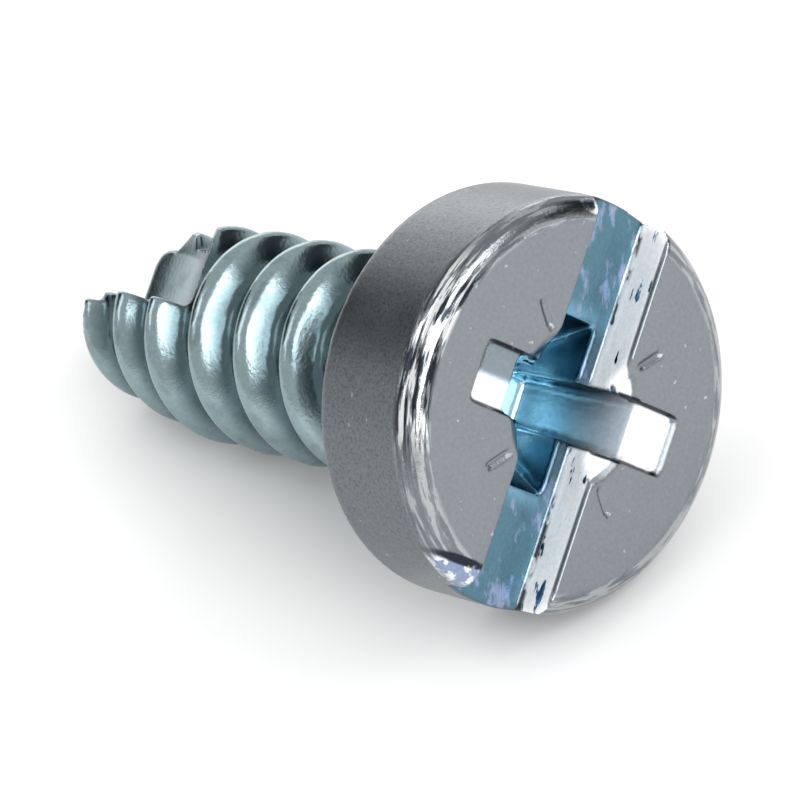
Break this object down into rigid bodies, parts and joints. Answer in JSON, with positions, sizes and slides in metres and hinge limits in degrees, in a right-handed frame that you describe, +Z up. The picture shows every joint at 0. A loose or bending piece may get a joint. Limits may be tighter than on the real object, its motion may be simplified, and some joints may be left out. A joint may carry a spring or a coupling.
{
  "type": "pan head screw",
  "caption": "Pan-head screw with a slot and cross recess, coarse right-hand thread and notched thread-cutting point, lying on its side.",
  "frame": {"origin": "on the surface that the screw lies on, at the centre of its footprint", "axes": "+Z up; the screw lies with its axis over X, its head towards +X and its point towards -X, the point end lower"},
  "size_m": [0.0154, 0.0084, 0.0088],
  "materials": {
    "zinc_plate": "zinc plate with a blue passivation, worn to white highlights on the edges"
  },
  "bodies": {
    "root": {"screw": "zinc_plate"}
  },
  "joints": []
}
